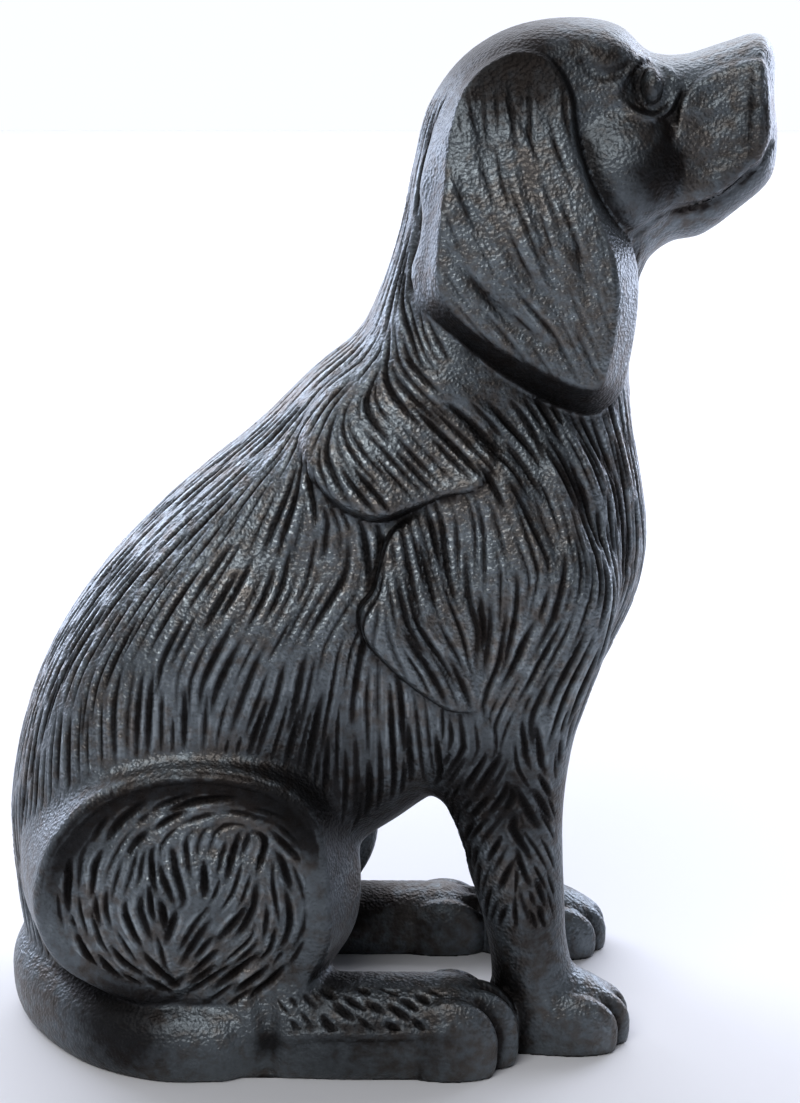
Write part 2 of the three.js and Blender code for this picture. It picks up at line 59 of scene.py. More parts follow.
# Outlines in the side view, as [forward, up]
TRUNK = [
    [-345, -24], [-367, 60], [-378, 150], [-378, 230], [-363, 305], [-336, 378], [-289, 453], [-212, 536],
    [-112, 619], [-62, 668], [-20, 703], [1, 742], [22, 806], [35, 870], [51, 924], [82, 965], [126, 991],
    [182, 1000], [226, 993], [256, 969], [288, 966], [330, 978], [358, 985], [371, 974], [375, 926],
    [380, 880], [374, 850], [345, 822], [310, 797], [280, 790], [259, 772], [249, 740], [245, 690],
    [248, 625], [260, 557], [267, 505], [261, 453], [240, 400], [212, 350], [176, 312], [132, 278],
    [90, 252], [56, 236], [25, 214], [-9, 190], [-55, 140], [-110, 60], [-180, -24],
]
EAR = [
    [100, 958], [130, 970], [158, 960], [174, 930], [177, 895], [189, 855], [205, 815], [218, 775],
    [219, 735], [213, 695], [204, 669], [190, 668], [150, 686], [110, 708], [76, 733], [58, 760], [56, 804],
    [59, 849], [67, 902], [79, 936],
]
HAUNCH = [
    [-330, 170], [-320, 221], [-298, 258], [-267, 287], [-225, 305], [-171, 312], [-118, 306], [-78, 288],
    [-58, 262], [-50, 220], [-46, 170], [-50, 130], [-70, 96], [-97, 66], [-127, 48], [-165, 55], [-215, 70],
    [-270, 88], [-312, 118],
]
FORELEG = [
    [38, 350], [48, 290], [68, 248], [80, 217], [92, 175], [102, 140], [112, 89], [114, 40], [118, -24],
    [186, -24], [196, 60], [187, 110], [184, 160], [182, 196], [181, 238], [184, 281], [191, 323],
    [204, 365], [222, 420], [226, 480], [196, 530], [130, 545], [72, 510], [44, 430],
]
UPPER_ARM = [
    [42, 552], [12, 530], [4, 500], [0, 480], [-12, 462], [-8, 440], [14, 412], [44, 386], [76, 366],
    [110, 372], [150, 470], [130, 540], [86, 562],
]
SHOULDER = [
    [-70, 622], [-66, 598], [-50, 578], [-28, 562], [0, 554], [30, 562], [62, 572], [96, 580], [110, 620],
    [80, 670], [10, 690], [-40, 668],
]
LIP = [
    [262, 822], [276, 828], [290, 831], [306, 834], [320, 841], [334, 853], [346, 865], [356, 877],
    [362, 896], [361, 930], [354, 960], [330, 960], [300, 948], [282, 930], [276, 900], [268, 850],
]

# Paths of single carved lines
EAR_FURROWS = [
    [[124, 938], [127, 922], [136, 902], [150, 878]],
    [[92, 926], [95, 898], [104, 863]],
    [[72, 872], [83, 836], [103, 796]],
    [[127, 885], [137, 850], [151, 805], [162, 764]],
    [[66, 794], [93, 760], [130, 725], [172, 702]],
    [[106, 827], [121, 796], [138, 769], [169, 742]],
    [[166, 815], [185, 785], [194, 752]],
]
CHEST_FURROWS = [
    [[70, 649], [108, 621], [131, 599], [143, 566], [165, 518], [176, 497]],
    [[107, 653], [130, 630], [154, 583], [171, 528]],
    [[169, 618], [194, 559], [207, 523]],
    [[191, 628], [221, 590], [241, 531], [244, 487]],
]
NAPE_FURROW = [[68, 882], [49, 837], [40, 782], [34, 726]]
THIGH_FURROWS = [
    [[-222, 212], [-192, 231], [-164, 237], [-136, 233], [-100, 222]],
    [[-200, 76], [-158, 100], [-124, 118], [-96, 128]],
]
THIGH_RIDGE = [
    [-322, 172], [-312, 219], [-291, 253], [-262, 280], [-222, 298], [-171, 305], [-121, 299], [-84, 282],
    [-64, 258],
]
LIP_LINE = [[240, 806], [262, 823], [290, 830], [306, 833], [320, 840], [334, 852], [347, 864], [366, 884]]
BROW_CREASE = [[186, 962], [200, 950], [219, 950], [236, 958]]
NOSE_RIDGE = [[350, 968], [349, 930], [350, 900], [352, 868]]
MUZZLE_FOLDS = [
    [[284, 932], [306, 931], [328, 941]],
    [[284, 906], [311, 908], [336, 920]],
    [[286, 868], [308, 870], [332, 884]],
]
LOWER_LID = [[222, 926], [236, 915], [252, 911], [267, 918], [275, 932]]
UPPER_LID = [[218, 936], [230, 953], [246, 964], [262, 961], [274, 946]]
FOOT_RIDGE = [[-112, 46], [-47, 52], [20, 52], [66, 54]]
TAIL_END = [[-112, 84], [-105, 50], [-108, -6]]

# How the coat lies: [forward, up, angle above forward in degrees]
COAT_LAY = [
    [-50, 686, 60], [-88, 635, 62], [-125, 607, 50], [-172, 561, 52], [-219, 533, 52], [-256, 486, 55],
    [-303, 430, 60], [-326, 365, 80], [-340, 310, 95], [-312, 291, 102], [-303, 328, 100], [-275, 347, 95],
    [-266, 440, 65], [-237, 440, 68], [-219, 384, 85], [-181, 440, 65], [-191, 365, 88], [-153, 514, 65],
    [-107, 533, 72], [-78, 514, 78], [-144, 430, 62], [-97, 440, 60], [-116, 375, 70], [-78, 384, 78],
    [-41, 458, 58], [-41, 393, 80], [-4, 347, 92], [43, 342, 95], [-69, 616, 88], [-36, 691, 72],
    [-13, 802, 80], [1, 896, 84], [52, 663, 138], [71, 644, 138], [108, 616, 130], [137, 579, 118],
    [151, 542, 108], [174, 598, 115], [188, 570, 112], [193, 528, 98], [211, 514, 85], [202, 458, 70],
    [193, 403, 62], [179, 347, 72], [165, 477, 75], [151, 430, 62], [127, 393, 60], [43, 710, 120],
    [15, 514, 98], [43, 486, 100], [80, 458, 110], [52, 426, 125], [71, 398, 115], [90, 514, 92],
    [108, 477, 88], [108, 430, 82], [127, 514, 110], [-36, 589, 118], [-13, 579, 130], [15, 607, 128],
    [52, 598, 132], [-360, 150, 92], [-372, 230, 88], [-250, 30, 90], [60, 940, 75], [120, 985, 40],
]
EAR_LAY = [
    [108, 945, 95], [150, 950, 86], [80, 923, 98], [127, 920, 92], [165, 923, 98], [80, 877, 104],
    [127, 877, 104], [174, 868, 112], [71, 802, 112], [108, 802, 118], [146, 802, 112], [193, 830, 108],
    [62, 765, 125], [99, 747, 132], [146, 737, 132], [183, 728, 115], [202, 775, 95],
]
THIGH_LAY = [
    [-284, 198, 85], [-266, 244, 60], [-228, 272, 40], [-191, 291, 22], [-153, 286, 8], [-116, 272, 165],
    [-83, 244, 135], [-67, 207, 110], [-64, 170, 85], [-78, 138, 62], [-97, 105, 48], [-125, 91, 35],
    [-280, 152, 105], [-266, 124, 125], [-237, 105, 150], [-228, 198, 70], [-205, 198, 115],
    [-181, 207, 105], [-144, 226, 75], [-121, 226, 70], [-219, 161, 108], [-233, 142, 118], [-186, 152, 60],
    [-172, 179, 50], [-144, 170, 50], [-139, 142, 40], [-125, 114, 42], [-153, 96, 40], [-93, 179, 100],
    [-107, 152, 80],
]
LEG_LAY = [
    [96, 396, 92], [98, 350, 100], [84, 300, 60], [104, 300, 60], [96, 250, 52], [114, 258, 55],
    [112, 205, 62], [116, 165, 60], [150, 380, 70], [158, 330, 100], [146, 290, 122], [166, 280, 125],
    [150, 240, 125], [166, 230, 128], [158, 200, 120], [150, 160, 110], [190, 360, 66], [184, 300, 84],
]
FOOT_LAY = [[-90, 60, 130], [-60, 62, 125], [-30, 62, 135], [10, 62, 140], [50, 62, 130]]

# Parts of the coat: how it lies, spacing, shortest and longest stroke, width and depth of a stroke in mm
COATS = {
    "coat": (COAT_LAY, 3.5, 10, 46, 2.1, 0.95),
    "ear": (EAR_LAY, 5.2, 12, 44, 1.7, 0.5),
    "thigh": (THIGH_LAY, 3.5, 6, 24, 2.3, 1.1),
    "leg": (LEG_LAY, 3.4, 6, 20, 2.1, 0.95),
    "foot": (FOOT_LAY, 4.8, 5, 9, 2.2, 0.9),
}

# Darker patches, partly dirt and partly painted shade under the ear and where parts meet: [forward, up,
# radius, how much]
DIRT_AND_SHADE = [
    [130, 972, 62, 0.3], [256, 864, 28, 0.4], [60, 985, 50, 0.2], [120, 645, 50, 0.15], [95, 275, 60, 0.3],
    [-70, 310, 60, 0.25], [-10, 255, 50, 0.25], [-250, 40, 60, 0.25], [-10, 60, 90, 0.2],
    [150, 120, 50, 0.15], [330, 840, 30, 0.1], [-250, 70, 40, 0.2], [-107, 40, 14, 0.3],
    [150, 260, 40, 0.12], [165, 170, 35, 0.12], [335, 900, 45, 0.1],
]
BAND_WIDTH = 24  # of the painted shade in the dip inside the haunch's ridge
BAND_MIDDLE = 10  # how far that dip lies from the ridge
EYEBALL_SHADE = 0.45  # the painted shade of the eyeballs, held lighter than their socket's
EYE, EYE_SIZE = (251, 82, 939), (12, 14, 18)
OPEN_SHARE = 0.3  # how deep an open place reads in the painted shade, where 1 is the darkest
SHELTER_SHARE = 0.7  # the painted shade that shelter adds
STROKE_SHARE = 0.5  # the painted shade that each millimetre of a stroke's depth adds
DIP_SHADE = 0.4  # the painted shade that the haunch's dip adds
EDGE_SHADE = 0.35  # the painted shade that the ear's downward-looking edge adds

ENDLESS = 1e9  # farther than anything reaches

# Where the figure is bare or covered, in the side view: [from forward, to forward, from up, to up]
FACE = [172, ENDLESS, 790, ENDLESS]
CROWN = [40, ENDLESS, 930, ENDLESS]
UNDER_EAR = [60, 250, 655, 690]
FOOT_COAT = [-98, 62, 56, 86]
HAUNCH_OUT = 150  # the haunch's strokes and the painted shade in its dip lie further out than this
HAUNCH_RIM = 22  # its strokes stop this far inside its outline
BELLY_RIM = 13  # and the belly's this far outside it
BELLY_OUT = 100  # where the belly is wider than this
FOOT_OUT = 172  # the foot's strokes lie further out than this
EAR_TOP = 945  # the ear's strokes end here
EAR_FACING = 0.7  # and are cut where it looks this much sideways
LEG_TOP = 330  # above this the forelegs carry the chest's coat
LEG_BACK = 60  # the chest's coat turns into the leg's forward of this
LEG_FRONT, LEG_BEND, LEG_LEAN = 172, 300, 0.5  # the leg's front edge, which leans forward above its bend
LEG_COAT = (135, 350)  # the leg's own strokes, from and to
RAGGED = (20, 7)  # how far up and down, and how closely, the line waves where the two meet
FACING_DOWN = -0.55  # undersides are bare
GROUND_STRIP = 14  # so is the lowest strip of all

AHEAD = 16  # how much further forward the left haunch sits than the right one
FAR = 60  # the field where no form reaches
CHANGED = 0.02  # the least change of the field that counts
SPREAD = 50  # within this distance the values given at places are blended
LAY_SPREAD = 12  # the same for the coat's lay
MARGIN = 40  # how far past its outline a form is worked out
FADE = 6  # the width over which a furrow fades out
SQUARE = 3  # how square feet and tail are under their middle, where 2 is round
SOLE = 1.5  # points lower than this belong to the flat sole
SLOPE = (0.3, 1.2)  # the field's slope is taken to be between these
PASSES = 4  # times that points are drawn onto the forms
MOST_MOVE = 3  # in one such pass

# A grid over the side view, on which outlines and levels are worked out once
TABLE_STEP = 4
TABLE_LOW = np.array([-440.0, -80.0])
TABLE_COUNT = (222, 292)

SHELTER_REACH = (8.0, 24.0)  # how far out from the surface the shelter is felt for

SEEDS = 40000  # places where a stroke may start
TURN = 0.6  # least cosine between one step of a stroke and the next
PARTING_LENGTH = 0.4  # strokes longer than this share of the longest may be partings
LOCK_RISE = 0.3  # how high the iron stands up beside a stroke, as a share of its depth
LOCK_AT = 1.5  # where it stands highest, in half-widths of the stroke
LOCK_WIDTH = 0.45  # how wide that crest is, in the same measure
GAP_VARIES = (0.78, 1.1)  # shares of a coat's spacing
LENGTH_VARIES = (0.5, 1)  # shares of its longest stroke
LONG_ENOUGH = 0.45  # of its longest, for the strokes that are cut first
SHORT_ENOUGH = 0.6  # of its shortest, for the ones between them
PARTING_ODDS = 0.5
CLOSING = 0.5  # a growing stroke may come this share of its gap near another
PARTING_WIDTH, PLAIN_WIDTH = (1.2, 1.6), (0.7, 1.1)  # shares of a coat's width of stroke
PARTING_DEPTH, PLAIN_DEPTH = (1.0, 1.35), (0.6, 1.0)


def drawn_through(points, closed, per_point=5):
    """Points along a smooth curve through the given ones. A closed one ends where it starts."""
    points = np.array(points, float)
    count = len(points)
    spans = count if closed else count - 1
    t = np.linspace(0, spans, count * per_point + 1)
    start = np.minimum(t.astype(int), spans - 1)
    t = (t - start)[:, None]
    if closed:
        p = [points[(start + k) % count] for k in (-1, 0, 1, 2)]
    else:
        long = np.vstack([2 * points[0] - points[1], points, 2 * points[-1] - points[-2]])
        p = [long[start + k] for k in (0, 1, 2, 3)]
    gap = [np.maximum(np.sqrt(np.linalg.norm(p[k + 1] - p[k], axis=1)), 1e-4)[:, None] for k in range(3)]
    leave = (p[1] - p[0]) / gap[0] - (p[2] - p[0]) / (gap[0] + gap[1]) + (p[2] - p[1]) / gap[1]
    reach = (p[2] - p[1]) / gap[1] - (p[3] - p[1]) / (gap[1] + gap[2]) + (p[3] - p[2]) / gap[2]
    leave, reach = leave * gap[1], reach * gap[1]
    return (p[1] + leave * t + (3 * (p[2] - p[1]) - 2 * leave - reach) * t ** 2
            + (2 * (p[1] - p[2]) + leave + reach) * t ** 3)


def nearest_on(line, x, z):
    """The distance to a line of points, and how far along it the nearest place is, as a share."""
    nearest = np.full(x.shape, ENDLESS)
    along = np.zeros(x.shape)
    for i, ((ax, az), (bx, bz)) in enumerate(zip(line[:-1], line[1:])):
        dx, dz = bx - ax, bz - az
        t = np.clip(((x - ax) * dx + (z - az) * dz) / max(dx * dx + dz * dz, 1e-9), 0, 1)
        off = np.hypot(ax + t * dx - x, az + t * dz - z)
        closer = off < nearest
        nearest = np.where(closer, off, nearest)
        along = np.where(closer, (i + t) / (len(line) - 1), along)
    return nearest, along


def inside(line, x, z):
    """Whether each place lies inside an outline that ends where it starts."""
    crossings = np.zeros(x.shape, bool)
    for (ax, az), (bx, bz) in zip(line[:-1], line[1:]):
        if az != bz:
            crossings ^= ((az > z) != (bz > z)) & (x < (bx - ax) * (z - az) / (bz - az) + ax)
    return crossings


def drawn_between(levels, x, z, spread=SPREAD):
    """Values at scattered places, drawn smoothly between them."""
    levels = np.array(levels, float)
    total = np.zeros((levels.shape[1] - 2,) + x.shape)
    weight = np.zeros(x.shape)
    for ax, az, *values in levels:
        w = 1 / ((ax - x) ** 2 + (az - z) ** 2 + spread ** 2) ** 2
        weight += w
        for i, v in enumerate(values):
            total[i] += v * w
    return total / weight


TABLE_X, TABLE_Z = np.meshgrid(TABLE_LOW[0] + TABLE_STEP * np.arange(TABLE_COUNT[0]),
                               TABLE_LOW[1] + TABLE_STEP * np.arange(TABLE_COUNT[1]), indexing="ij")


class Table:
    """Values worked out once on a grid over the side view, and read between its points."""

    def __init__(self, values):
        self.values = values

    def __call__(self, x, z):
        u = np.clip((x - TABLE_LOW[0]) / TABLE_STEP, 0, TABLE_COUNT[0] - 1.001)
        w = np.clip((z - TABLE_LOW[1]) / TABLE_STEP, 0, TABLE_COUNT[1] - 1.001)
        i, k = u.astype(int), w.astype(int)
        u, w = u - i, w - k
        v = self.values
        return ((v[i, k] * (1 - u) + v[i + 1, k] * u) * (1 - w)
                + (v[i, k + 1] * (1 - u) + v[i + 1, k + 1] * u) * w)


def depth_table(line):
    """How far inside a closed outline each place of the side view lies, below nothing outside it."""
    return Table(nearest_on(line, TABLE_X, TABLE_Z)[0] * np.where(inside(line, TABLE_X, TABLE_Z), 1, -1))


def soft(a, b, k):
    """Smooth minimum: where two forms are within k of each other their join is filleted."""
    h = np.maximum(k - np.abs(a - b), 0) / k
    return np.minimum(a, b) - h * h * k / 4


def reach_of(line, y=None, half=70):
    """The box that a form with this outline fills, across the whole figure unless it stands at y."""
    low, high = line.min(axis=0), line.max(axis=0)
    across = (-ENDLESS, ENDLESS) if y is None else (y - half, y + half)
    return [low[0], across[0], low[1]], [high[0], across[1], high[1]]


def swell(name, outline, levels, blend, y=0.0, bounded=False):
    """A form swollen from its side outline, with an elliptical section. Its levels are
    [forward, up, half-width, how far in from the outline the side has rounded over]."""
    line = drawn_through(outline, True)
    depth_at = depth_table(line)
    tables = [Table(t) for t in drawn_between(levels, TABLE_X, TABLE_Z)]

    def at(p, field):
        x, across, z = p
        half, rounding = tables[0](x, z), tables[1](x, z)
        rise = np.maximum(1 - depth_at(x, z) / rounding, 0)
        return (np.hypot((across - y) / half, rise) - 1) * np.minimum(half, rounding)
    return dict(name=name, at=at, blend=blend, reach=reach_of(line, y if bounded else None))


def slab(name, outline, levels, thick, edge, blend, side=0):
    """A slab with its flat face at a level and a wall that flares as a mould's draft. Its levels are
    [forward, up, level of the face, flare]."""
    line = drawn_through(outline, True)
    depth_at = depth_table(line)
    tables = [Table(t) for t in drawn_between(levels, TABLE_X, TABLE_Z)]

    def at(p, field):
        x, across, z = p
        face = (side * across if side else np.abs(across)) - tables[0](x, z)
        flare = tables[1](x, z)
        wall = (-depth_at(x, z) + np.maximum(face, -thick) * flare) / np.hypot(1, flare)
        return -soft(soft(-face, -wall, edge), face + thick, thick / 3)
    return dict(name=name, at=at, blend=blend, reach=reach_of(line))


def relief(name, outline, heights, flare, edge):
    """The surface so far, raised within an outline on both sides, by heights that may fall to nothing. They
    are given as [forward, up, height]."""
    line = drawn_through(outline, True)
    depth_at = depth_table(line)
    height_at = Table(drawn_between(heights, TABLE_X, TABLE_Z)[0])

    def at(p, field):
        x, _, z = p
        rise = height_at(x, z) - field
        return -soft(rise, depth_at(x, z) + flare * rise, edge)
    return dict(name=name, at=at, blend=1, reach=reach_of(line))


def furrow(path, half, depth, within=(0, ENDLESS), side=0, runout=0.08):
    """A rounded furrow along a path, that runs out at its ends, or a ridge where its depth is negative. It is
    cut where the figure is as wide as within says, and fades over FADE past that."""
    line = drawn_through(path, False)

    def at(p, field):
        x, across, z = p
        off, along = nearest_on(line, x, z)
        full = np.sin(math.pi * np.clip(along, runout, 1 - runout)) ** 0.5
        width = side * across if side else np.abs(across)
        there = np.clip((width - within[0]) / FADE, 0, 1) * np.clip((within[1] - width) / FADE, 0, 1)
        return field + depth * np.maximum(1 - (off / half) ** 2, 0) ** 2 * full * there
    return dict(name=None, at=at, blend=half, reach=reach_of(line), replace=True)


def egg(name, centre, radii, blend, only=False, standing=False, carve=False):
    """An ellipsoid, on both sides unless only one is asked for, squarer below its middle if it stands."""
    cx, cy, cz = centre
    rx, ry, rz = radii

    def at(p, field):
        x, across, z = p
        y = (across if only else np.abs(across)) - cy
        dz = np.abs(z - cz) / rz
        flat = np.hypot((x - cx) / rx, y / ry)
        power = np.where((z < cz) & standing, SQUARE, 2)
        near = (flat ** power + dz ** power) ** (1 / power)
        steep = np.sqrt((x - cx) ** 2 + y ** 2 + (z - cz) ** 2) / np.maximum(near, 0.01)
        return (near - 1) * np.clip(steep, min(radii), max(radii))
    return dict(name=name, at=at, blend=blend, carve=carve,
                reach=([cx - rx, -ENDLESS, cz - rz], [cx + rx, ENDLESS, cz + rz]))


def limb(name, stations, blend, per_span=8):
    """A lying limb through stations of [forward, across, up, half-width, half-height]."""
    stations = np.array(stations, float)
    spans = len(stations) - 1
    t = np.arange(spans * per_span + 1) / per_span
    start = np.minimum(t.astype(int), spans - 1)
    share = (t - start)[:, None]
    fine = 40
    curve = drawn_through(stations[:, :3], False, fine)
    places = curve[np.round(t / spans * (len(stations) * fine)).astype(int)]
    radii = stations[start, 3:] * (1 - share) + stations[start + 1, 3:] * share

    def at(p, field):
        x, across, z = p
        nearest = np.full(x.shape, ENDLESS)
        for (bx, by, bz), (r, up) in zip(places, radii):
            dz = np.abs(z - bz) / up
            power = np.where(z < bz, SQUARE, 2)
            near = ((np.hypot(x - bx, across - by) / r) ** power + dz ** power) ** (1 / power)
            nearest = np.minimum(nearest, (near - 1) * r)
        return nearest
    widest = radii.max()
    return dict(name=name, at=at, blend=blend,
                reach=(places.min(axis=0) - widest, places.max(axis=0) + widest))


def forefoot(y, size):
    """A foreleg at y with its paw and four toes."""
    ankle = 200
    toes = [[-31, 194], [-11, 208], [11, 208], [31, 194]]
    return [
        swell("leg", FORELEG, [[130, 60, 36, 36], [130, 200, 40, 44], [120, 330, 46, 50], [130, 450, 44, 60]],
              24, y, True),
        egg("paw", [172, y, 26 * size], [70, 42, 52 * size], 12, only=True, standing=True),
        *[egg("paw", [ankle + (ahead - ankle) * size, y + across, 22 * size], [44 * size, 15, 38 * size], 4,
              only=True, standing=True) for across, ahead in toes],
    ]


def hindfoot(y, wide, high):
    """A hind foot that lies flat at y, with its four toes."""
    middle = 0.42 * high
    stations = [[x, y, middle, share * wide, high - middle]
                for x, share in ((-120, 0.9), (-20, 1), (66, 0.96))]
    toes = [[-0.68, 70], [-0.23, 92], [0.23, 92], [0.68, 70]]
    return [
        limb("foot", stations, 22),
        *[egg("paw", [ahead, y + share * wide, 0.36 * high], [46, 0.34 * wide, 0.54 * high], 4, only=True,
              standing=True) for share, ahead in toes],
    ]


def moved(path, ahead):
    """A path of the side view, moved forward."""
    return [[x + ahead, z] for x, z in path]


def figure():
    """The forms of the dog, in the order that they are joined."""
    forms = [swell("coat", TRUNK, [
        [-320, 100, 138, 140], [-230, 250, 160, 120], [-120, 400, 164, 125], [0, 300, 146, 90],
        [60, 430, 152, 110], [-80, 560, 134, 100], [120, 540, 142, 105], [220, 470, 104, 80],
        [60, 650, 116, 90], [130, 720, 100, 85], [210, 700, 78, 60], [40, 880, 92, 56], [120, 880, 94, 62],
        [110, 1000, 88, 26], [200, 1000, 80, 26], [200, 930, 88, 46], [230, 850, 84, 52], [310, 900, 62, 34],
        [360, 920, 58, 24], [350, 860, 56, 28], [310, 810, 46, 28],
    ], 1)]
    for side, ahead in ((1, AHEAD), (-1, 0)):
        forms += [
            slab("thigh", moved(HAUNCH, ahead), [[-180, 200, 176, 0.34], [-60, 200, 184, 0.34],
                                                 [-180, 60, 180, 0.34]], 110, 8, 10, side),
            egg("thigh", [ahead - 182, side * 162, 168], [114, 34, 108], 20, only=True),
        ]
    # the left and the right foreleg, by their place across and their size
    forms += [*forefoot(109, 0.94), *forefoot(-106, 1)]
    forms += [
        relief("coat", UPPER_ARM, [[-4, 450, 19], [14, 520, 10], [50, 380, 22], [84, 372, 5], [110, 380, -10],
                                   [140, 440, -10], [110, 530, -8], [70, 560, -4]], 0.45, 4),
        relief("coat", SHOULDER, [[-50, 590, 10], [10, 560, 20], [62, 575, 9], [94, 585, 2], [0, 670, 0],
                                  [100, 640, 0], [-60, 640, 5]], 0.7, 5),
        relief("face", LIP, [[330, 850, 13], [300, 832, 13], [352, 880, 11], [350, 930, 7], [300, 890, 3],
                             [310, 950, 0], [270, 850, 4]], 0.6, 4),
        egg("face", [226, 56, 862], [57, 50, 62], 7),  # cheek
        slab("ear", EAR, [
            [140, 700, 132, 0.95], [70, 745, 132, 0.7], [60, 830, 128, 0.45], [140, 800, 134, 0.5],
            [140, 880, 122, 0.4], [90, 890, 112, 0.4], [165, 930, 106, 0.3], [110, 970, 83, 0],
            [150, 970, 85, 0.1], [84, 940, 88, 0.1], [212, 720, 132, 0.5],
        ], 60, 4, 4),
    ]
    forms += [furrow(path, 9, 3) for path in EAR_FURROWS]
    forms += [furrow(path, 14, 4.5) for path in [*CHEST_FURROWS, NAPE_FURROW]]
    forms += [furrow(path, 11, 5) for path in THIGH_FURROWS]
    forms += [
        egg("face", [213, 60, 964], [25, 19, 14], 8),  # brow
        egg("face", [247, 98, 938], [26, 26, 22], 8, carve=True),  # eye socket
        egg("face", [251, 72, 939], [10, 18, 17], 3),  # eyeball
    ]
    # the left and the right hind foot, by their place across, half-width and height
    for y, wide, high in ((118, 44, 68), (-154, 49, 90)):
        forms += hindfoot(y, wide, high)
    forms.append(limb("tail", [
        [-310, 26, 60, 46, 52], [-338, -14, 50, 44, 52], [-331, -54, 43, 43, 49], [-302, -98, 37, 43, 46],
        [-258, -141, 34, 43, 44], [-206, -163, 32, 43, 43], [-158, -165, 32, 42, 42],
    ], 6))
    # finer lines, which the carver cut last
    for side, ahead in ((1, AHEAD), (-1, 0)):
        forms.append(furrow(moved(THIGH_RIDGE, ahead), 6, -3.2, (150, ENDLESS), side))
    forms += [
        furrow(LIP_LINE, 7, 4.3, (12, 100)),
        furrow(BROW_CREASE, 9, 1.6, (40, 90)),
        furrow(NOSE_RIDGE, 8, -2.6, (30, 90)),
        furrow(LOWER_LID, 6, -3.5, (50, 110)),
        furrow(UPPER_LID, 5, -2.5, (50, 110)),
        furrow(FOOT_RIDGE, 9, -4.5, (175, 230), -1),
        furrow(TAIL_END, 17, 6, (150, 260), -1, 0.2),
        *[furrow(path, 14, 1.3, (30, 90)) for path in MUZZLE_FOLDS],
    ]
    return forms


# Parts of the figure, as the forms name them
NAMES = ["", "coat", "thigh", "leg", "paw", "face", "ear", "foot", "tail"]


class Field:
    """The figure's field at a set of points: negative inside the iron, zero on its surface."""

    def __init__(self, forms, points):
        self.forms = []
        for form in forms:
            margin = form["blend"] + MARGIN
            low, high = np.array(form["reach"][0]) - margin, np.array(form["reach"][1]) + margin
            near = np.flatnonzero(((points > low) & (points < high)).all(axis=1))
            self.forms.append((form, near))

    def __call__(self, points, names=False):
        field = np.full(len(points), float(FAR))
        named = np.zeros(len(points), int)
        for form, near in self.forms:
            before = field[near]
            value = form["at"](points[near].T, before)
            if form.get("replace"):
                field[near] = value
                continue
            carve = form.get("carve", False)
            after = -soft(-before, value, form["blend"]) if carve else soft(before, value, form["blend"])
            field[near] = after
            if names and form["name"]:
                # a place bears the name of the last form that changed it
                won = (value < before - CHANGED) | (carve & (after > before + CHANGED))
                named[near[won]] = NAMES.index(form["name"])
        return (field, named) if names else field


def slope(field, points, step=1.0):
    """Which way the field rises, and how steeply."""
    out = np.empty_like(points)
    for axis in range(3):
        ahead = points.copy()
        ahead[:, axis] += step
        behind = points.copy()
        behind[:, axis] -= step
        out[:, axis] = (field(ahead) - field(behind)) / (2 * step)
    return out


def unit(v):
    """Vectors of length one."""
    return v / np.maximum(np.linalg.norm(v, axis=1), 1e-9)[:, None]


def even_skin(source, spacing):
    """A copy of the casting with evenly spaced surface points."""
    copy = bpy.data.objects.new("skin", source.data.copy())
    bpy.context.scene.collection.objects.link(copy)
    remesh = copy.modifiers.new("even", "REMESH")
    remesh.mode = "VOXEL"
    remesh.voxel_size = spacing
    copy.data.update()
    mesh = bpy.data.meshes.new_from_object(copy.evaluated_get(bpy.context.evaluated_depsgraph_get()))
    bpy.data.objects.remove(copy)
    return mesh


def lay_of(anchors, x, z):
    """The coat's angle, drawn between known places and doubled there, as a stroke has no front."""
    anchors = np.array(anchors, float)
    twice = np.radians(2 * anchors[:, 2])
    levels = np.column_stack([anchors[:, :2], np.cos(twice), np.sin(twice)])
    c, s = drawn_between(levels, x, z, LAY_SPREAD)
    return np.arctan2(s, c) / 2


def trace_strokes(places, normals, lays, coats, seeds, rng):
    """Strokes that follow the coat's lay over the surface and keep clear of each other, in mm."""
    tree = KDTree(len(places))
    for i, p in enumerate(places.tolist()):
        tree.insert(p, i)
    tree.balance()
    cell = 5.0  # mm, about the widest gap between strokes
    taken = {}
    strokes = []

    def cell_of(p):
        return int(p[0] // cell), int(p[1] // cell), int(p[2] // cell)

    def too_near(p, gap, own):
        i, j, k = cell_of(p)
        for a in (i - 1, i, i + 1):
            for b in (j - 1, j, j + 1):
                for c in (k - 1, k, k + 1):
                    for q, stroke in taken.get((a, b, c), ()):
                        away = (q[0] - p[0]) ** 2 + (q[1] - p[1]) ** 2 + (q[2] - p[2]) ** 2
                        if stroke != own and away < gap * gap:
                            return True
        return False

    # the long strokes are cut first, then short ones in the gaps between them
    for seed, first in [(s, True) for s in seeds] + [(s, False) for s in seeds]:
        coat = coats[seed]
        _, spacing, shortest, longest, _, _ = COATS[coat]
        gap = spacing * rng.uniform(*GAP_VARIES)
        start = places[seed]
        if too_near(start, gap, None):
            continue
        number = len(strokes)
        length = rng.uniform(*LENGTH_VARIES) * longest
        halves = []
        for way in (1, -1):
            at, i = Vector(start), seed
            before = Vector(lays[i]) * way
            half = []
            for _ in range(int(length / 2 / STEP)):
                lay = Vector(lays[i])
                if lay.dot(before) < 0:
                    lay = -lay
                if lay.dot(before) < TURN:
                    break
                at = at + lay * STEP
                _, i, _ = tree.find(at)
                if coats[i] is None:
                    break
                normal = Vector(normals[i])
                at = at - normal * (at - Vector(places[i])).dot(normal)
                if too_near(at, gap * CLOSING, number):
                    break
                before = lay
                half.append((tuple(at), tuple(lay)))
            halves.append(half)
        line = halves[1][::-1] + [(tuple(start), tuple(lays[seed]))] + halves[0]
        if len(line) * STEP < (LONG_ENOUGH * longest if first else SHORT_ENOUGH * shortest):
            continue
        for p, _ in line:
            taken.setdefault(cell_of(p), []).append((p, number))
        strokes.append((line, coat))
    return strokes


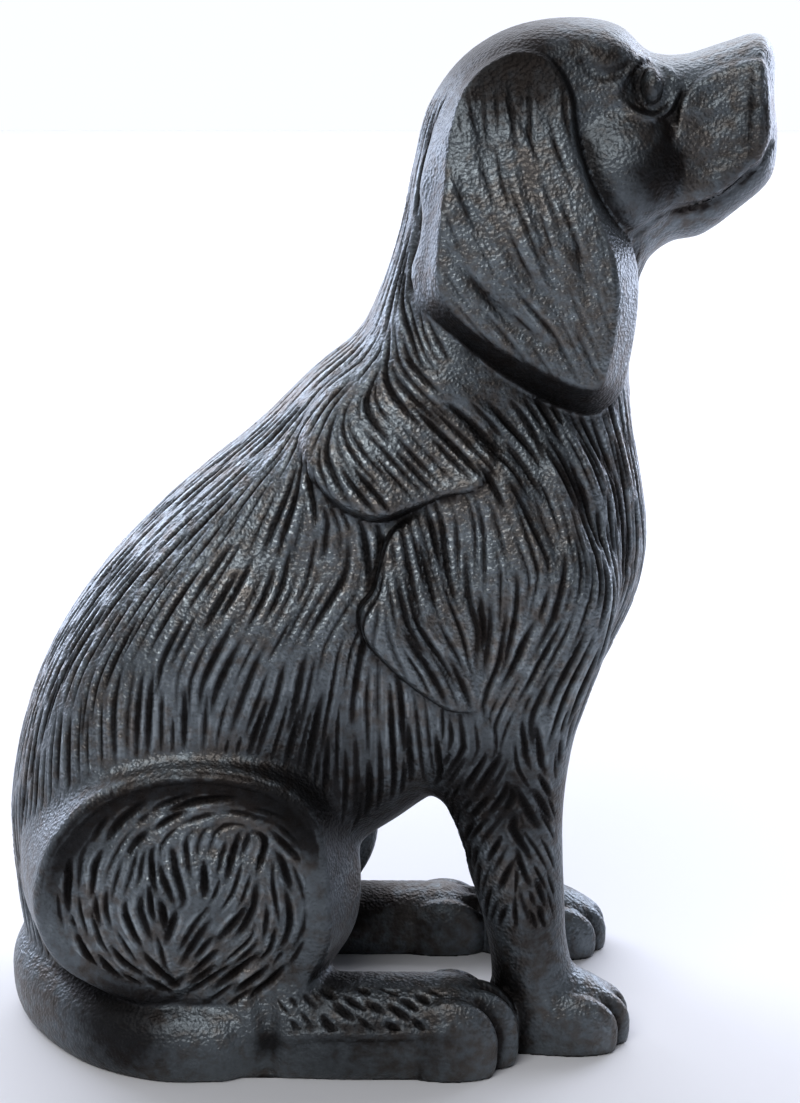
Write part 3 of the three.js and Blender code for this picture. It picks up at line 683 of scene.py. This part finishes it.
def cut_strokes(places, normals, carved, strokes, rng):
    """How deep each place lies in the strokes, in mm."""
    tree = KDTree(sum(len(line) for line, _ in strokes))
    samples = []
    for line, coat in strokes:
        _, _, _, longest, width, depth = COATS[coat]
        # many of the longer strokes are deep partings between locks
        parting = len(line) * STEP > PARTING_LENGTH * longest and rng.random() < PARTING_ODDS
        width *= rng.uniform(*(PARTING_WIDTH if parting else PLAIN_WIDTH))
        depth *= rng.uniform(*(PARTING_DEPTH if parting else PLAIN_DEPTH))
        for n, (p, lay) in enumerate(line):
            share = (n + 0.5) / len(line)
            # a stroke runs out at both ends, where it is a little over half as wide
            taper = math.sin(math.pi * share) ** 0.6
            tree.insert(p, len(samples))
            samples.append((*p, *lay, width * (0.55 + 0.45 * taper) / 2, depth * taper))
    tree.balance()
    nearest = np.array([tree.find(p)[1] for p in places[carved].tolist()])
    s = np.array(samples)[nearest]
    gap = places[carved] - s[:, :3]
    lay = s[:, 3:6]
    gap -= lay * (gap * lay).sum(axis=1)[:, None] * (np.abs((gap * lay).sum(axis=1)) < STEP)[:, None]
    gap -= normals[carved] * (gap * normals[carved]).sum(axis=1)[:, None]
    off = np.linalg.norm(gap, axis=1) / s[:, 6]
    deep = np.zeros(len(places))
    deep[carved] = s[:, 7] * (1 - np.minimum(off, 1) ** 1.6) ** 1.3
    # between strokes the iron stands up in rounded locks
    deep[carved] -= s[:, 7] * LOCK_RISE * np.exp(-((off - LOCK_AT) / LOCK_WIDTH) ** 2)
    return deep


def in_box(x, z, box):
    """Whether each place of the side view lies in a box of [from forward, to forward, from up, to up]."""
    return (x > box[0]) & (x < box[1]) & (z > box[2]) & (z < box[3])


def called(named, name):
    """Which points belong to the part of the figure with this name."""
    return named == NAMES.index(name)


def coats_over(points, normals, named, haunch_depth):
    """Which part of the coat covers each point, or None where the iron is bare."""
    x, y, z = points.T
    side = np.abs(y)
    coats = np.full(len(points), None, object)
    bare = (normals[:, 2] < FACING_DOWN) | (z < GROUND_STRIP)
    by_haunch = (haunch_depth > -BELLY_RIM) & (side > BELLY_OUT)
    plain_parts = by_haunch | in_box(x, z, FACE) | in_box(x, z, CROWN) | in_box(x, z, UNDER_EAR)
    on_haunch = (haunch_depth > HAUNCH_RIM) & (side > HAUNCH_OUT)
    on_ear = (np.abs(normals[:, 1]) > EAR_FACING) & (z < EAR_TOP)
    coats[called(named, "coat") & ~bare & ~plain_parts] = "coat"
    coats[called(named, "thigh") & ~bare & on_haunch] = "thigh"
    coats[called(named, "ear") & ~bare & on_ear] = "ear"
    coats[called(named, "leg") & ~bare & (z >= LEG_TOP)] = "coat"
    # the leg's short strokes meet the long ones of the chest on a ragged line
    ragged = LEG_COAT[1] + RAGGED[0] * np.sin(x / RAGGED[1])
    leg = called(named, "leg") | (called(named, "coat") & (x > LEG_BACK))
    leg &= ~bare & (z > LEG_COAT[0]) & (z < ragged)
    coats[leg & (x < LEG_FRONT + LEG_LEAN * np.maximum(z - LEG_BEND, 0))] = "leg"
    coats[called(named, "foot") & (y < -FOOT_OUT) & in_box(x, z, FOOT_COAT)] = "foot"
    return coats


def lays_over(points, normals, coats, ahead):
    """Which way the coat lies at each point, along the surface."""
    lays = np.zeros(points.shape)
    for name, (anchors, *_) in COATS.items():
        mine = coats == name
        angle = lay_of(anchors, (points[:, 0] - ahead * (name == "thigh"))[mine], points[mine, 2])
        lays[mine] = np.column_stack([np.cos(angle), np.zeros(mine.sum()), np.sin(angle)])
    return unit(lays - normals * (lays * normals).sum(axis=1)[:, None])


def dirt_and_shade_over(points, normals, named, haunch_depth, ahead):
    """How much dirt and painted shade darken each point, from 0 to about 1."""
    x, y, z = points.T
    dirt_and_shade = sum(amount * np.exp(-((x - dx) ** 2 + (z - dz) ** 2) / radius ** 2)
               for dx, dz, radius, amount in DIRT_AND_SHADE)
    # painted shade in the dip inside the haunch's ridge, fading out low down
    off, _ = nearest_on(drawn_through(THIGH_RIDGE, False), x - ahead, z)
    in_dip = called(named, "thigh") & (haunch_depth > 5) & (np.abs(y) > HAUNCH_OUT)
    band = np.clip(1 - np.abs(off - BAND_MIDDLE) / BAND_WIDTH, 0, 1)
    dirt_and_shade += DIP_SHADE * band * in_dip * np.clip((z - 150) / 80, 0, 1)
    # the ear's lower edge looks down, so it is painted darker as shade
    dirt_and_shade += EDGE_SHADE * np.clip(-0.2 - normals[:, 2], 0, 0.4) / 0.4 * called(named, "ear")
    return dirt_and_shade


def dog_mesh():
    """The casting's surface, drawn onto the figure's forms and carved, with how much painted shade and dirt
    darken each point.
    """
    rng = random.Random(3)
    mesh = even_skin(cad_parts["dog"], SKIN)
    count = len(mesh.vertices)
    flat = np.empty(count * 3, np.float32)
    mesh.vertices.foreach_get("co", flat)
    points = flat.reshape(-1, 3).astype(float) / UNIT + MIDDLE
    field = Field(figure(), points)
    # draw each point onto the true surface
    rise = slope(field, points)
    steep = np.maximum(np.linalg.norm(rise, axis=1), SLOPE[0])
    way = unit(rise)
    sole = points[:, 2] < SOLE
    for _ in range(PASSES):
        move = np.clip(field(points) / steep, -MOST_MOVE, MOST_MOVE)
        points -= way * np.where(sole, 0, move)[:, None]
    points[:, 2] = np.maximum(points[:, 2], 0)
    _, named = field(points, names=True)
    normals = unit(slope(field, points))
    normals[sole] = (0, 0, -1)

    # cut the coat's strokes
    x, y, z = points.T
    ahead = np.where(y > 0, AHEAD, 0)
    haunch_depth = depth_table(drawn_through(HAUNCH, True))(x - ahead, z)
    coats = coats_over(points, normals, named, haunch_depth)
    lays = lays_over(points, normals, coats, ahead)
    places = (points - MIDDLE) * UNIT_MM
    carved = np.flatnonzero([coat is not None for coat in coats])
    seeds = list(carved)
    rng.shuffle(seeds)
    strokes = trace_strokes(places, normals, lays, coats, seeds[:SEEDS], rng)
    deep = cut_strokes(places, normals, carved, strokes, rng)

    # how sheltered a place is: near a wall, the field rises less as one leaves the surface; sheltered places
    # are painted darker as shade
    shelter = np.zeros(count)
    for out in SHELTER_REACH:
        shelter += 0.5 * np.clip(1 - field(points + normals * out) / (out * np.clip(steep, *SLOPE)), 0, 1)
    dirt_and_shade = dirt_and_shade_over(points, normals, named, haunch_depth, ahead)
    # how dark each point is painted: a base for open places, painted shade where it is sheltered and in the
    # strokes' grooves, and the patches of dirt and painted shade
    painted_shade_and_dirt = np.clip(OPEN_SHARE + shelter * SHELTER_SHARE + deep * STROKE_SHARE + dirt_and_shade, 0, 1)
    # the eyeballs keep one level of painted shade, lighter than their socket's
    ball = np.linalg.norm((np.column_stack([x, np.abs(y), z]) - EYE) / EYE_SIZE, axis=1) < 1
    painted_shade_and_dirt[ball] = EYEBALL_SHADE

    places -= normals * deep[:, None]
    places[:, 2] = np.maximum(places[:, 2], 0)
    mesh.vertices.foreach_set("co", (places / 1000).astype(np.float32).ravel())
    mesh.attributes.new("painted_shade_and_dirt", "FLOAT", "POINT").data.foreach_set("value", painted_shade_and_dirt.astype(np.float32))
    mesh.update()
    return mesh


def thinned(mesh, wanted):
    """The same surface in fewer triangles, with the most where it bends the most."""
    holder = bpy.data.objects.new("thinned", mesh)
    bpy.context.scene.collection.objects.link(holder)
    thin = holder.modifiers.new("thin", "DECIMATE")
    thin.ratio = min(1.0, wanted / sum(len(p.vertices) - 2 for p in mesh.polygons))
    out = bpy.data.meshes.new_from_object(holder.evaluated_get(bpy.context.evaluated_depsgraph_get()))
    bpy.data.objects.remove(holder)
    return out


def to_linear(hex_colour):
    """An sRGB hex colour as linear RGBA."""
    parts = [int(hex_colour[i:i + 2], 16) / 255 for i in (1, 3, 5)]
    return (*[c / 12.92 if c <= 0.04045 else ((c + 0.055) / 1.055) ** 2.4 for c in parts], 1)


def add_node(tree, kind, inputs=None, **settings):
    """Adds a node with its settings, and sets or links its inputs."""
    node = tree.nodes.new(kind)
    for name, value in settings.items():
        setattr(node, name, value)
    for name, value in (inputs or {}).items():
        if isinstance(value, bpy.types.NodeSocket):
            tree.links.new(value, node.inputs[name])
        else:
            node.inputs[name].default_value = value
    return node


# Iron from open places to sheltered ones and grooves, which are painted darker as shade, and to dirt, and the
# tint of old rust under its wax
SHADES = [(0.2, "#939b9f"), (0.42, "#60666a"), (0.7, "#272728"), (1.0, "#121111")]
RUST = "#f2c8a6"
SPECKLE = 0.24  # how much the specks change the depth that is read
SATIN, DULL = 0.32, 0.6  # roughness of waxed iron, and of iron in the recesses
COARSE_SHARE, FINE_SHARE = 0.8, 0.6  # of the two grains in the pebbled surface
GRAIN_HEIGHT = 0.0005  # m


def cast_iron():
    """Sand cast iron, blackened and waxed: the sand leaves a close pebble all over, the wax a soft satin
    sheen that the recesses lack, and old rust under it turns patches a little brown."""
    material = bpy.data.materials.new("cast iron")
    material.use_nodes = True
    tree = material.node_tree
    tree.nodes.clear()
    place = add_node(tree, "ShaderNodeTexCoord").outputs["Object"]
    painted_shade_and_dirt = add_node(tree, "ShaderNodeAttribute", attribute_name="painted_shade_and_dirt").outputs["Fac"]
    patches = add_node(tree, "ShaderNodeTexNoise",
                       {"Vector": place, "Scale": 1 / PATCHES, "Detail": 4.0}).outputs["Fac"]
    specks = add_node(tree, "ShaderNodeTexNoise",
                      {"Vector": place, "Scale": 1 / SPECKS, "Detail": 3.0}).outputs["Fac"]
    grain = add_node(tree, "ShaderNodeTexVoronoi", {"Vector": place, "Scale": 1 / GRAIN, "Smoothness": 0.6},
                     feature="SMOOTH_F1").outputs["Distance"]
    fine = add_node(tree, "ShaderNodeTexNoise",
                    {"Vector": place, "Scale": 1 / FINE_GRAIN, "Detail": 2.0}).outputs["Fac"]

    # iron is lightest in open places and painted darker as shade where it is sheltered or grooved, and darker
    # under dirt
    depth = add_node(tree, "ShaderNodeMath", {0: specks, 1: SPECKLE, 2: painted_shade_and_dirt},
                     operation="MULTIPLY_ADD").outputs[0]
    shades = add_node(tree, "ShaderNodeValToRGB", {"Fac": depth})
    ramp = shades.color_ramp
    while len(ramp.elements) < len(SHADES):
        ramp.elements.new(0.5)
    for element, (place_on_ramp, hex_colour) in zip(ramp.elements, SHADES):
        element.position = place_on_ramp
        element.color = to_linear(hex_colour)
    rust = add_node(tree, "ShaderNodeMath", {0: specks, 1: patches}, operation="ADD").outputs[0]
    rust = add_node(tree, "ShaderNodeMapRange",
                    {"Value": rust, "From Min": 0.94, "From Max": 1.22, "To Max": 0.55}).outputs[0]
    mixed = add_node(tree, "ShaderNodeMix", {"Factor": rust}, data_type="RGBA", blend_type="MULTIPLY")
    # a Mix node has sockets for each kind of value under one name, so the colour ones go by their identifiers
    sockets = {s.identifier: s for s in [*mixed.inputs, *mixed.outputs]}
    tree.links.new(shades.outputs["Color"], sockets["A_Color"])
    sockets["B_Color"].default_value = to_linear(RUST)
    colour = sockets["Result_Color"]
    rough = add_node(tree, "ShaderNodeMapRange",
                     {"Value": depth, "From Min": 0.2, "From Max": 0.9,
                      "To Min": SATIN, "To Max": DULL}).outputs[0]
    height = add_node(tree, "ShaderNodeMath", {0: grain, 1: COARSE_SHARE}, operation="MULTIPLY").outputs[0]
    height = add_node(tree, "ShaderNodeMath", {0: fine, 1: FINE_SHARE, 2: height},
                      operation="MULTIPLY_ADD").outputs[0]
    bump = add_node(tree, "ShaderNodeBump",
                    {"Height": height, "Strength": 0.9, "Distance": GRAIN_HEIGHT}).outputs[0]
    shader = add_node(tree, "ShaderNodeBsdfPrincipled",
                      {"Base Color": colour, "Metallic": 0.9, "Roughness": rough, "Normal": bump})
    tree.links.new(shader.outputs[0], add_node(tree, "ShaderNodeOutputMaterial").inputs[0])
    return material


def plain(name, hex_colour, roughness):
    """A material of one colour."""
    material = bpy.data.materials.new(name)
    material.use_nodes = True
    shader = material.node_tree.nodes["Principled BSDF"]
    shader.inputs["Base Color"].default_value = to_linear(hex_colour)
    shader.inputs["Roughness"].default_value = roughness
    return material


def area_light(name, place, aim, wide, high, power, hex_colour="#ffffff"):
    """A softbox of so many metres and watts, turned to a place."""
    data = bpy.data.lights.new(name, "AREA")
    data.shape = "RECTANGLE"
    data.size, data.size_y = wide, high
    data.energy = power
    data.color = to_linear(hex_colour)[:3]
    light = bpy.data.objects.new(name, data)
    bpy.context.scene.collection.objects.link(light)
    light.location = place
    light.rotation_euler = (Vector(aim) - Vector(place)).to_track_quat("-Z", "Y").to_euler()


def studio():
    """A pale floor in a white tent that is open and dark towards the camera, and its lights."""
    mesh = bpy.data.meshes.new("floor")
    reach = 6.0
    mesh.from_pydata([(-reach, -reach, 0), (reach, -reach, 0), (reach, reach, 0), (-reach, reach, 0)], [],
                     [(0, 1, 2, 3)])
    floor = bpy.data.objects.new("floor", mesh)
    bpy.context.scene.collection.objects.link(floor)
    mesh.materials.append(plain("pale floor", "#cfcfd1", 0.85))

    world = bpy.data.worlds.new("studio")
    bpy.context.scene.world = world
    world.use_nodes = True
    tree = world.node_tree
    tree.nodes.clear()
    # the tent is white behind, to the sides and above, and dark low down towards the camera
    way = add_node(tree, "ShaderNodeTexCoord").outputs["Generated"]
    parts = add_node(tree, "ShaderNodeSeparateXYZ", {0: way})
    behind = add_node(tree, "ShaderNodeMapRange",
                      {"Value": parts.outputs["Y"], "From Min": -0.2, "From Max": 0.7,
                       "To Min": 0.09, "To Max": 1.15}, interpolation_type="SMOOTHSTEP").outputs[0]
    above = add_node(tree, "ShaderNodeMapRange",
                     {"Value": parts.outputs["Z"], "From Min": 0.15, "From Max": 0.8,
                      "To Min": 0.0, "To Max": 0.35}, interpolation_type="SMOOTHSTEP").outputs[0]
    glow = add_node(tree, "ShaderNodeMath", {0: behind, 1: above}, operation="MAXIMUM").outputs[0]
    back = add_node(tree, "ShaderNodeBackground", {"Color": to_linear("#eef2ff"), "Strength": glow})
    tree.links.new(back.outputs[0], add_node(tree, "ShaderNodeOutputWorld").inputs[0])

    middle = (0, 0, 0.17)
    # a softbox above the camera draws the coat, two behind the dog light its rims, and a wide one hangs
    # behind it all as the white backdrop
    area_light("top", (-0.25, -0.7, 0.85), middle, 0.7, 0.45, 6)
    area_light("left", (-0.8, 0.8, 0.5), middle, 0.5, 0.9, 8, "#dfe7ff")
    area_light("right", (0.8, 0.8, 0.5), middle, 0.5, 0.9, 8, "#dfe7ff")
    area_light("backdrop", (0, 3.6, 2.4), (0, 3.6, 0), 10.0, 5.0, 420, "#f2f5ff")


def camera():
    """The camera stands as high as the dog's crown and looks a little down at its right side."""
    data = bpy.data.cameras.new("camera")
    data.sensor_fit = "AUTO"
    data.sensor_width = 36
    data.lens = CAMERA_LENS
    data.clip_start, data.clip_end = 0.05, 20
    eye = bpy.data.objects.new("camera", data)
    bpy.context.scene.collection.objects.link(eye)
    eye.location = CAMERA_PLACE
    eye.rotation_euler = (math.radians(CAMERA_TILT), 0, 0)
    bpy.context.scene.camera = eye


mesh = thinned(dog_mesh(), TRIANGLES)
mesh.name = "cast_dog"
mesh.materials.clear()
mesh.materials.append(cast_iron())
mesh.polygons.foreach_set("use_smooth", [True] * len(mesh.polygons))
dog = bpy.data.objects.new("cast_dog", mesh)
bpy.context.scene.collection.objects.link(dog)
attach(dog, "root")
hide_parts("dog")
studio()
camera()
bpy.context.scene.view_settings.view_transform = "Standard"
